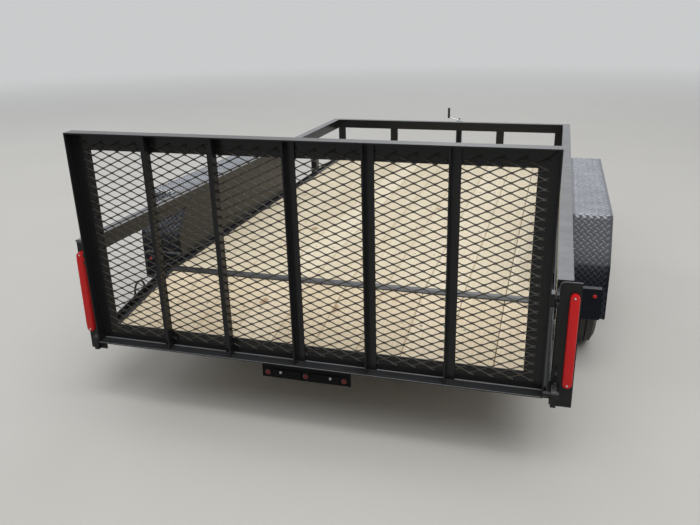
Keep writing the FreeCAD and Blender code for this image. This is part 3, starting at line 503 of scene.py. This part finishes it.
def expanded_mesh():
    """Raised expanded metal: tilted strands that meet in thicker knuckles, in diamonds wider than tall."""
    shape = Shape()
    tilt, tall, thin = math.radians(36.0), 0.0046, 0.0016
    knuckle, shortest = 0.0055, 0.12
    stations = ((0.0, 1.15), (0.14, 1.0), (0.5, 0.92), (0.86, 1.0), (1.0, 1.15))
    half = gate_half - gate_leg + mesh_lap
    low = gate_low + gate_leg - mesh_lap
    high = gate_high - gate_leg + mesh_lap
    middle = (low + high) / 2
    sheet_y = mesh_back + 0.0020

    def section(x, z, along, size):
        """The strand's cross-section, square to its run in the sheet and tilted out of it."""
        up = Vector((-along.z, 0, along.x))
        if up.z < 0:
            up = -up
        wide = up * math.cos(tilt) + y_axis * math.sin(tilt)
        deep = up * -math.sin(tilt) + y_axis * math.cos(tilt)
        centre = Vector((hinge.x + x, sheet_y, z))
        a, b = wide * tall * size / 2, deep * thin / 2
        return [centre - a - b, centre + a - b, centre + a + b, centre - a + b]

    rows = int((high - low) / mesh_short) + 3
    columns = int(2 * half / mesh_long) + 4
    for row in range(-rows, rows + 1):
        for column in range(-columns, columns + 1):
            x = column * mesh_long / 2
            z = middle + row * mesh_short / 2
            if (row + column) % 2 or abs(x) > half or not low <= z <= high:
                continue
            for rise, limit in ((1, high), (-1, low)):
                end_x, end_z = x + mesh_long / 2, z + rise * mesh_short / 2
                along = Vector((end_x - x, 0, end_z - z)).normalized()
                reach = min(1.0, (half - x) / (end_x - x), (limit - z) / (end_z - z))
                if reach < shortest:
                    continue
                cuts = [station for station in stations if station[0] < reach] + [(reach, 1.0)]
                shape.loft([section(x + share * (end_x - x), z + share * (end_z - z), along, size)
                            for share, size in cuts])
            shape.loft([section(x + shift * knuckle, z, x_axis, size)
                        for shift, size in ((-1, 1.35), (-0.5, 1.95), (0.5, 1.95), (1, 1.35))])
    made = piece("expanded_mesh", shape, "gate", mesh_paint, 20.0, turn=leaned_gate())
    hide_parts("gate_mesh")


def gate_welds():
    """Beads at the frame's corners and the uprights' ends, and tacks that hold the mesh to the legs."""
    shape = Shape()
    mitre_bead, end_bead, tack_bead = 0.0022, 0.0028, 0.0026
    margin, half_tack, lap = 0.006, 0.006, 0.012
    end_y, tack_y = gate_face - 0.0105, gate_face - 0.004
    leg_at, half_web, leg_near, leg_far, end_in = 0.019, 0.018, 0.009, 0.042, 0.0055
    side_tacks, first_up, pitch_up = 12, 0.1, 0.065
    cross_tacks, first_across, pitch_across = 22, -0.8, 0.0762
    for side in (-1, 1):
        for z, step in ((gate_low, 1), (gate_high, -1)):
            inner = Vector((hinge.x + side * (gate_half - gate_leg), gate_face, z + step * gate_leg))
            outer = Vector((hinge.x + side * (gate_half - margin), gate_face, z + step * margin))
            shape.weld(inner, outer, mitre_bead)
    for place, side in gate_uprights:
        x = hinge.x + place
        corner = x + side * leg_at
        for z in (gate_low + end_in, gate_high - end_in):
            shape.weld((corner, gate_face - leg_near, z), (corner, gate_face - leg_far, z), end_bead)
            shape.weld((x - half_web, end_y, z), (x + half_web, end_y, z), end_bead)
    reach = gate_half - gate_leg + lap
    for side in (-1, 1):
        inner, outer = hinge.x + side * (reach - half_tack), hinge.x + side * (reach + half_tack)
        for index in range(side_tacks):
            z = gate_low + first_up + index * pitch_up
            shape.weld((inner, tack_y, z), (outer, tack_y, z), tack_bead)
    for z in (gate_low + gate_leg - lap, gate_high - gate_leg + lap):
        for index in range(cross_tacks):
            x = hinge.x + first_across + index * pitch_across
            shape.weld((x - half_tack, tack_y, z), (x + half_tack, tack_y, z), tack_bead)
    piece("gate_welds", shape, "gate", black, turn=leaned_gate())


def gate_edge_highlights():
    """Painted highlight lines along the root of the bottom flange, where it meets the frame's face, and along
    its rear edge.
    """
    shape = Shape()
    reach = gate_half - 0.006
    root = (gate_face, gate_low + 0.0050, 0.0036)
    rear_edge = (gate_face - 0.0492, gate_low + 0.0040, 0.0014)
    for y, z, radius in (root, rear_edge):
        shape.tube([(hinge.x - reach, y, z), (hinge.x + reach, y, z)], radius)
    piece("gate_edge_highlights", shape, "gate", edge_highlight_paint, turn=leaned_gate())


# Lamps

def bar_outline(x, half, low, high, inset, count=10):
    """An upright bar with round ends, as points in X and Z."""
    half = half - inset
    low, high = low + inset + half, high - inset - half
    turns = [math.pi * index / count for index in range(count + 1)]
    arc = [(half * math.cos(a), half * math.sin(a)) for a in turns]
    return [(x + dx, high + dz) for dx, dz in arc] + [(x - dx, low - dz) for dx, dz in arc]


def tail_lamp_pieces():
    """Upright lamps: a deep red body with round ends, a raised lens, and a screw at each end."""
    low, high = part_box("tail_lamps")
    bases, lenses, screws = Shape(), Shape(), Shape()
    half, beyond, lens_end, screw_end = 0.0175, 0.003, 0.026, 0.012
    foot, crown = low.z + 0.008, high.z + 0.002
    back = high.y
    face, lens_face = back - 0.0235, back - 0.027
    body_steps = ((back, 0.0), (face + 0.004, 0.0), (face + 0.001, 0.0012), (face, 0.004))
    lens_steps = ((face + 0.002, 0.002), (lens_face + 0.001, 0.003), (lens_face, 0.006))
    head = ((0.0, 0.0040), (0.0014, 0.0038), (0.0022, 0.0025), (0.0023, 0.0005))
    for x in (low.x + half - beyond, high.x - half + beyond):
        bases.loft([[Vector((px, y, pz)) for px, pz in bar_outline(x, half, foot, crown, inset)]
                    for y, inset in body_steps])
        rings = []
        for y, inset in lens_steps:
            w, z0, z1 = half - inset, foot + lens_end + inset, crown - lens_end - inset
            corners = ((x - w, z0), (x + w, z0), (x + w, z1), (x - w, z1))
            rings.append([Vector((px, y, pz)) for px, pz in corners])
        lenses.loft(rings)
        for z in (foot + screw_end, crown - screw_end):
            screws.turned(head, (x, face + 0.0002, z), (0, -1, 0), 16)
    made = piece("tail_lamp_bases", bases, "chassis", red)
    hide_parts("tail_lamps")
    piece("tail_lamp_lenses", lenses, "chassis", red)
    piece("tail_lamp_screws", screws, "chassis", zinc)


def round_lamp(rings, lenses, place, axis, radius=0.013):
    """A domed lens in a rubber ring."""
    depth = 0.010
    rings.turned([(0.0, radius), (depth * 0.45, radius), (depth * 0.6, radius * 0.93),
                  (depth * 0.6, radius * 0.8)], place, axis, 28)
    lenses.turned([(depth * 0.5, radius * 0.8), (depth * 0.72, radius * 0.76), (depth * 0.88, radius * 0.6),
                   (depth * 0.97, radius * 0.34), (depth, 0.0)], place, axis, 28)


def small_lamps():
    """Round lamps on the bar under the tail and at the fenders' feet, with the bar's strips and bolts. The
    bar's lenses and strips are darkened as painted shadow.
    """
    rings, reds, ambers, shadowed_reds = Shape(), Shape(), Shape(), Shape()
    bolts, strips = Shape(), Shape()
    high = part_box("clearance_lamps")[1]
    marker_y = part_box("front_marker_lamps")[0].y
    bar_low, bar_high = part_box("id_lamp_bar")
    spacing, lamp_z = 0.167, bar_high.z - 0.034
    foot_x, foot_z = high.x - 0.013, high.z - 0.013
    strip_start, strip_end, strip_half, strip_y = 0.018, 0.149, 0.016, bar_low.y - 0.005
    for x in (-spacing, 0.0, spacing):
        round_lamp(rings, shadowed_reds, (x, bar_low.y, lamp_z), (0, -1, 0))
    for side in (-1, 1):
        round_lamp(rings, reds, (side * foot_x, high.y, foot_z), (0, -1, 0), 0.0105)
        round_lamp(rings, ambers, (side * foot_x, marker_y, foot_z), (0, 1, 0))
        bolts.nut((side * 0.109, strip_y, lamp_z + 0.005), (0, -1, 0), 0.0045, 0.004)
        ends = sorted((side * strip_start, side * strip_end))
        strips.box((ends[0], strip_y, lamp_z - strip_half), (ends[1], bar_low.y, lamp_z + strip_half))
    made = piece("lamp_rings", rings, "chassis", tread_rubber)
    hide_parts("clearance_lamps", "front_marker_lamps")
    piece("clearance_lenses", reds, "chassis", red)
    piece("front_marker_lenses", ambers, "chassis", amber)
    piece("id_lenses", shadowed_reds, "chassis", shadowed_red)
    piece("id_bar_bolts", bolts, "chassis", zinc)
    piece("id_bar_strips", strips, "chassis", shadow_paint, bevel=0.0015)


# Fenders

def fender_line():
    """The fender's side view from the rear foot to the front one, its four bends as short arcs."""
    half, run, drop, reach, bend_radius, steps = 0.6975, 0.147, 0.200, 0.256, 0.030, 8
    middle = (fender_low.y + fender_high.y) / 2
    top = fender_high.z
    corners = [(-half - run, top - drop - reach), (-half - run, top - drop), (-half, top), (half, top),
               (half + run, top - drop), (half + run, top - drop - reach)]
    corners = [Vector((0, middle + y, z)) for y, z in corners]
    line = [corners[0]]
    for before, corner, after in zip(corners, corners[1:], corners[2:]):
        into, out = (corner - before).normalized(), (after - corner).normalized()
        turn = into.angle(out)
        start = corner - into * (bend_radius * math.tan(turn / 2))
        centre = start - x_axis.cross(into) * bend_radius
        for step in range(steps + 1):
            line.append(centre + Matrix.Rotation(-turn * step / steps, 3, "X") @ (start - centre))
    return line + [corners[-1]]


def lamp_box_hoods():
    """The sloped top of each lamp box, from the fender's foot down to the box's face."""
    shape = Shape()
    top, deep, rise = fender_low.z + 0.151, 0.017, 0.007
    near, far = leg_out + 0.002, leg_out + 0.206
    for side in (-1, 1):
        for y, step in ((fender_low.y, 1), (fender_high.y, -1)):
            section = [(y, top), (y + step * deep, top), (y + step * deep, top + rise)]
            shape.loft([[Vector((side * x, py, pz)) for py, pz in section] for x in (near, far)])
    piece("lamp_box_hoods", shape, "chassis", rail_sheen_paint)


def tread_rows(pitch):
    """Where each row of lozenges lies on the bent sheet, how the sheet runs there, and if the row is odd."""
    line = fender_line()
    lengths = [(b - a).length for a, b in zip(line, line[1:])]
    total = sum(lengths)
    count = int(total / (pitch / 2))
    rows = []
    for row in range(count):
        travel = (row + 0.5) * total / count
        for start, end, length in zip(line, line[1:], lengths):
            if travel <= length:
                along = (end - start).normalized()
                rows.append((start + along * travel, along, row % 2))
                break
            travel -= length
    return rows


def treads():
    """The raised lozenges of treadplate, two slants by turns, lighter than the sheet as a painted highlight.
    Those on the upper bends get a paler paint still, as a stronger painted highlight.
    """
    pitch, long, wide, rise, sunk = 0.0305, 0.0160, 0.0060, 0.0019, 0.0006
    rows = tread_rows(pitch)
    margin, from_leg, box_strip, level, steep = 0.006, 0.010, 0.022, 0.02, 0.79
    far = fender_high.x - margin
    top, box_top = fender_high.z - 0.008, fender_high.z - 0.300 - long
    faces = [(0, 1, 6), (1, 2, 7, 6), (2, 3, 7), (3, 4, 7), (4, 5, 6, 7), (5, 0, 6), (5, 4, 3, 2, 1, 0)]
    bright = Shape()
    for name, side in (("left", -1), ("right", 1)):
        shape = Shape()
        outward = x_axis * side
        for spot, along, odd in rows:
            # Lozenges on the upper bends go into the painted highlight piece
            sheet = bright if level < abs(along.z) < steep else shape
            normal = x_axis.cross(along)
            near = leg_out + from_leg
            if spot.z > top:
                near = rail_high.x + margin
            elif spot.z < box_top:
                near = fender_high.x - box_strip
            count = max(1, int((far - near) / pitch))
            stagger = 0.5 if count > 1 else 0.0
            turn = math.pi / 4 if odd else -math.pi / 4
            main = along * math.cos(turn) + outward * math.sin(turn)
            cross = along * -math.sin(turn) + outward * math.cos(turn)
            tip, shoulder, flank = main * long, main * 0.4 * long, cross * wide
            foot = [tip, shoulder + flank, flank - shoulder, -tip, -shoulder - flank, shoulder - flank]
            crest = [main * 0.5 * long, main * -0.5 * long]
            for index in range(count):
                x = near + (index + 0.5 + stagger * odd) * (far - near) / (count + stagger)
                centre = spot + outward * x
                low = [centre + point - normal * sunk for point in foot]
                sheet.add(low + [centre + point + normal * rise for point in crest], faces)
        piece("treads_" + name, shape, "chassis", lozenge_highlight_paint, 50.0)
    piece("treads_bright", bright, "chassis", bend_highlight_paint, 50.0)


# Wheels

def tyre_pieces(name):
    """A trailer tyre: rounded shoulders, rim protector, sidewall ribs, and tread ribs crossed by blocks."""
    low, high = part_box(name)
    centre = (low + high) / 2
    shape = Shape()
    seat, half, radius = rim_seat + 0.001, tyre_half, tyre_radius
    right = [(0.0637, seat), (0.0637, seat + 0.0145), (0.072, seat + 0.019), (0.082, seat + 0.026),
             (0.0905, seat + 0.045), (0.0925, seat + 0.047), (0.0925, seat + 0.05), (0.0945, seat + 0.052),
             (half - 0.0012, seat + 0.07), (half - 0.001, seat + 0.085), (half - 0.003, seat + 0.1),
             (0.0915, seat + 0.114), (0.0912, seat + 0.117), (0.0885, seat + 0.121),
             (0.082, radius - 0.018), (0.0775, radius - 0.0125)]
    ribs = ((0.0755, 0.0045, 0.047, 0.0015), (0.041, 0.0012, 0.0165, 0.0002))
    for outer, outer_drop, inner, inner_drop in ribs:
        right += [(outer + 0.0005, radius - 0.0115), (outer, radius - outer_drop),
                  (inner, radius - inner_drop), (inner - 0.0005, radius - 0.0085)]
    right += [(0.0108, radius - 0.0085), (0.0103, radius - 0.0001)]
    ring = right + [(-x, r) for x, r in right[::-1]]
    shape.loft([[centre + Vector((x, r * math.sin(a), r * math.cos(a))) for x, r in ring]
                for a in angles(96)], closed=True)
    block_half, block_foot, block_top, block_sink = 0.0062, 0.002, 0.0036, 0.0042
    blocks = ((0.049, 0.0745, 0.0032, 0.175), (-0.0745, -0.049, 0.0032, -0.175),
              (0.018, 0.0405, 0.0008, -0.175), (-0.0405, -0.018, 0.0008, 0.175))
    for a in angles(64):
        out = Vector((0, math.sin(a), math.cos(a)))
        forth = Vector((0, math.cos(a), -math.sin(a)))
        for x0, x1, drop, skew in blocks:
            across = (x_axis + forth * skew).normalized()
            middle = centre + Vector(((x0 + x1) / 2, 0, 0)) + out * (radius - drop - block_sink)
            reach = (x1 - x0) / 2
            shape.box((-reach, -block_half, -block_foot), (reach, block_half, block_top),
                      (across, forth, out), middle)
    made = piece(name + "_rubber", shape, "wheel_" + name[5:], tread_rubber, 28.0)
    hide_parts(name)


def wheel_hardware(name, side):
    """Five lug nuts and the valve on the rim's outer face."""
    low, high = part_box(name)
    centre = (low + high) / 2
    shape = Shape()
    lug_out, lug_circle, lug_turn = 0.021, 0.0572, 0.3
    valve_out, valve_circle, valve_turn, valve_length = 0.03, 0.163, 0.95, 0.03
    lug = ((0.0, 0.0125), (0.003, 0.0115), (0.0031, 0.0105), (0.017, 0.0105), (0.0205, 0.0075))
    for angle in angles(5):
        a = angle + lug_turn
        place = centre + Vector((side * lug_out, lug_circle * math.sin(a), lug_circle * math.cos(a)))
        shape.turned(lug, place, (side, 0, 0), 6)
    stem = centre + Vector((side * valve_out, valve_circle * math.sin(valve_turn),
                            valve_circle * math.cos(valve_turn)))
    shape.tube([stem, stem + x_axis * side * valve_length], [0.0045, 0.0032], 10)
    piece(name + "_nuts", shape, "wheel_" + name[4:], zinc)


def wheels():
    """Every rim's hardware and every tyre."""
    for name in sorted(nodes):
        if name.startswith("tyre_"):
            tyre_pieces(name)
        if name.startswith("rim_"):
            wheel_hardware(name, 1 if name.endswith("right") else -1)


# Running gear

def running_gear():
    """U-bolts with tie plates under the springs, and the nuts of the hangers and equalizers."""
    bars, nuts = Shape(), Shape()
    half_leaf, half_spread = 0.022, 0.0285
    spring_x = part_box("springs")[1].x - half_leaf
    beams = [(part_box("axle_" + place)[0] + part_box("axle_" + place)[1]) / 2 for place in ("rear", "front")]
    beam_z, reach, foot, bar_radius = 0.2345, 0.0365, 0.168, 0.0055
    plate_low, plate_high, plate_half_x, plate_half_y = 0.1705, 0.1765, 0.038, 0.05
    turns = [math.pi * index / 10 for index in range(1, 10)]
    arc = [(-reach * math.cos(a), beam_z + reach * math.sin(a)) for a in turns]
    u_bolt = [(-reach, foot), (-reach, beam_z)] + arc + [(reach, beam_z), (reach, foot)]
    for beam in beams:
        for side in (-1, 1):
            x = side * spring_x
            for bolt_x in (x - half_spread, x + half_spread):
                bars.tube([(bolt_x, beam.y + y, z) for y, z in u_bolt], bar_radius, 10)
                for y in (beam.y - reach, beam.y + reach):
                    nuts.nut((bolt_x, y, plate_low), (0, 0, -1), 0.009, 0.008)
            bars.box((x - plate_half_x, beam.y - plate_half_y, plate_low),
                     (x + plate_half_x, beam.y + plate_half_y, plate_high))
    piece("u_bolts", bars, "chassis", black, 35.0)
    hanger, equalizer, bolt_z, half_hanger = 0.739, 0.099, 0.2505, 0.0273
    middle = (beams[0].y + beams[1].y) / 2
    for side in (-1, 1):
        for y in (-hanger, -equalizer, 0.0, equalizer, hanger):
            for way in (-1, 1):
                place = (side * spring_x + way * half_hanger, middle + y, bolt_z)
                nuts.nut(place, (way, 0, 0), 0.0105, 0.008)
    piece("spring_nuts", nuts, "chassis", zinc)


# Bed

def bed_welds():
    """Beads where uprights, posts and rails meet."""
    shape = Shape()
    foot, top, flange = deck_top - 0.09, deck_top + 0.018, rail_high.z - 0.006
    half_upright, front_upright_x, side_upright_y = 0.032, 0.461, front - 0.613
    half_post_bead, corner_out = 0.03, 0.97
    post_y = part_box("rear_post_right")[1].y - 0.02
    upright_y, rail_y, corner_y = front + 0.006, front + 0.0125, front + 0.0005
    for x in (-front_upright_x, front_upright_x):
        for edge in (x - half_upright, x + half_upright):
            shape.weld((edge, upright_y, foot), (edge, upright_y, top), 0.003)
            shape.weld((edge, rail_y, rail_low.z + 0.004), (edge, rail_y, flange - 0.004), 0.0024)
    for side in (-1, 1):
        upright_x, post_x, corner_x = side * (leg_out + 0.001), side * (leg_out + 0.011), side * corner_out
        for edge in (side_upright_y - half_upright, side_upright_y + half_upright):
            shape.weld((upright_x, edge, foot), (upright_x, edge, top), 0.003)
        shape.weld((post_x, post_y, tail_deck - half_post_bead),
                   (post_x, post_y, tail_deck + half_post_bead), 0.0015)
        shape.weld((corner_x, corner_y, rail_low.z + 0.01), (corner_x, corner_y, flange), 0.002)
    piece("bed_welds", shape, "chassis", black)


def post_hardware():
    """Two bolts on each rear post's foot, and the bead round its top where it meets the rail, grey as a
    painted highlight.
    """
    bolts, bead = Shape(), Shape()
    low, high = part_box("rear_post_right")
    inside, outside = gate_half + 0.028, gate_half + 0.105
    bolt_in, bolt_heights, turn, straight, steps = 0.012, (0.345, 0.385), 0.020, 0.045, 8
    bolt_y, y = low.y + 0.044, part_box("tail_lamps")[1].y + 0.001
    quarter = [math.pi / 2 * step / steps for step in range(1, steps + 1)]
    for side in (-1, 1):
        for z in bolt_heights:
            bolts.nut((hinge.x + side * (inside + bolt_in), bolt_y, z), (0, -1, 0), 0.0055, 0.004)
        inner, outer = hinge.x + side * inside, hinge.x + side * outside
        path = [(inner, y, high.z - turn - straight), (inner, y, high.z - turn)]
        path += [(inner + side * turn * (1 - math.cos(a)), y, high.z - turn * (1 - math.sin(a)))
                 for a in quarter]
        bead.tube(path + [(outer, y, high.z)], 0.0022, 10)
    piece("post_bolts", bolts, "chassis", black)
    piece("post_edge_highlights", bead, "chassis", edge_highlight_paint)


def jack_pieces():
    """Zinc crank on a gear housing, with a black grip that stands up."""
    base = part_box("jack_crank")[0].z
    tube_low, tube_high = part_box("jack_tube")
    y = (tube_low.y + tube_high.y) / 2
    reach = 0.104
    arm, grip = Shape(), Shape()
    arm.turned([(0.0, 0.012), (0.008, 0.012), (0.011, 0.0095), (0.028, 0.0095), (0.030, 0.0115),
                (0.036, 0.0115), (0.0395, 0.008), (0.040, 0.003)], (0, y, base), z_axis, 24)
    crank = ((0.004, 0.0145), (-0.02, 0.016), (-0.05, 0.022), (-0.085, 0.029), (-0.099, 0.0325),
             (-reach, 0.038), (-reach, 0.05))
    arm.tube([(x, y, base + z) for x, z in crank], 0.0052, 14)
    grip.turned([(0.0, 0.0100), (0.002, 0.0115), (0.03, 0.0118), (0.06, 0.0112), (0.085, 0.0118),
                 (0.096, 0.0105), (0.098, 0.006)], (-reach, y, base + 0.030), z_axis, 24)
    made = piece("crank_arm", arm, "chassis", zinc)
    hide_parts("jack_crank")
    piece("crank_grip", grip, "chassis", tread_rubber)


# Floor, light and camera

far_tone = (0.59, 0.6, 0.605, 1)
sky_tone = (0.86, 0.88, 0.91, 1)
studio_tone = (0.95, 0.97, 1.0, 1)


def looked_at(tree, kinds):
    """1 for rays of these kinds and 0 for the others."""
    rays = add_node(tree, "ShaderNodeLightPath")
    share = rays.outputs[kinds[0]]
    for kind in kinds[1:]:
        share = maths(tree, "MAXIMUM", share, rays.outputs[kind])
    return share


def stage():
    """A pale, slightly clouded floor that fades into the backdrop with distance."""
    half, behind, ahead, z = 200, -200, 300, -0.0005
    fade_start, fade_end = 4.0, 20.0
    mesh = bpy.data.meshes.new("floor")
    mesh.from_pydata([(-half, behind, z), (half, behind, z), (half, ahead, z), (-half, ahead, z)],
                     [], [(0, 1, 2, 3)])
    material, tree, shader = node_material("pale_floor")
    vector = add_node(tree, "ShaderNodeNewGeometry").outputs["Position"]
    cloud = noise(tree, vector, 0.7, 6.0, 0.6)
    near = mixed(tree, cloud, (0.475, 0.463, 0.435, 1), (0.52, 0.51, 0.485, 1))
    surface(tree, shader, near, 0.85)
    away = add_node(tree, "ShaderNodeVectorMath", {0: vector}, operation="LENGTH").outputs["Value"]
    seen = looked_at(tree, ("Is Camera Ray", "Is Glossy Ray"))
    share = maths(tree, "MULTIPLY", soft_share(tree, away, fade_start, fade_end), seen)
    glow = add_node(tree, "ShaderNodeEmission", {"Color": far_tone, "Strength": 1.0})
    blend = add_node(tree, "ShaderNodeMixShader", {"Fac": share, 1: shader.outputs[0], 2: glow.outputs[0]})
    tree.links.new(blend.outputs[0], tree.nodes["Material Output"].inputs["Surface"])
    mesh.materials.append(material)
    thing = bpy.data.objects.new("floor", mesh)
    scene.collection.objects.link(thing)


def world():
    """Soft white studio all round, and a pale backdrop where the camera, gloss or glass look."""
    made = bpy.data.worlds.new("studio")
    scene.world = made
    made.use_nodes = True
    tree = made.node_tree
    background = tree.nodes["Background"]
    seen = looked_at(tree, ("Is Camera Ray", "Is Glossy Ray", "Is Transmission Ray"))
    view = add_node(tree, "ShaderNodeTexCoord").outputs["Generated"]
    height = add_node(tree, "ShaderNodeSeparateXYZ", {"Vector": view}).outputs["Z"]
    pale = mixed(tree, soft_share(tree, height, 0.13, 0.3), far_tone, sky_tone)
    fill(tree, background.inputs["Color"], mixed(tree, seen, studio_tone, pale))
    fill(tree, background.inputs["Strength"], scaled(tree, seen, 0.46, 1.0))


def soft_light(name, place, target, size, power, colour):
    """A round lamp at a place, aimed at a target."""
    data = bpy.data.lights.new(name, "AREA")
    data.shape = "DISK"
    data.size = size
    data.energy = power
    data.color = colour
    lamp = bpy.data.objects.new(name, data)
    lamp.location = place
    lamp.rotation_mode = "QUATERNION"
    lamp.rotation_quaternion = (Vector(target) - Vector(place)).to_track_quat("-Z", "Y")
    scene.collection.objects.link(lamp)


def camera():
    """Behind the trailer, right of its middle, above the gate."""
    pan, tilt, roll = 0.2891, -0.3406, -0.0179
    place = (0.9248, tail - 2.4407, 1.6390)
    sensor, picture_width, focal_pixels, farthest = 36.0, 700.0, 701.9, 200.0
    ahead = Vector((-math.sin(pan) * math.cos(tilt), math.cos(pan) * math.cos(tilt), math.sin(tilt)))
    level = Vector((math.cos(pan), math.sin(pan), 0))
    above = level.cross(ahead)
    right = level * math.cos(roll) + above * math.sin(roll)
    up = above * math.cos(roll) - level * math.sin(roll)
    data = bpy.data.cameras.new("camera")
    data.sensor_width = sensor
    data.lens = sensor * focal_pixels / picture_width
    data.clip_end = farthest
    thing = bpy.data.objects.new("camera", data)
    turn = Matrix((right, up, -ahead)).transposed()
    thing.matrix_world = Matrix.Translation(place) @ turn.to_4x4()
    scene.collection.objects.link(thing)
    scene.camera = thing


boards("boards_level", bend, front, level_pine, "deck_boards", 7)
boards("boards_dovetail", tail, bend, tail_pine, "dovetail_boards", 12)
deck_screws()
expanded_mesh()
gate_welds()
gate_edge_highlights()
tail_lamp_pieces()
small_lamps()
lamp_box_hoods()
treads()
wheels()
running_gear()
bed_welds()
post_hardware()
jack_pieces()
stage()
world()
soft_light("key", (3.0, -5.0, 9.5), (0, 0, 0.3), 11.0, 850.0, (1.0, 0.985, 0.96))
soft_light("fill", (-8.0, 1.0, 7.0), (0, 0, 0.3), 8.0, 240.0, (0.96, 0.975, 1.0))
soft_light("far_sky", (-1.0, 11.0, 9.3), (0, 0, 0.4), 9.0, 320.0, (0.96, 0.98, 1.0))
camera()
scene.view_settings.view_transform = "Standard"
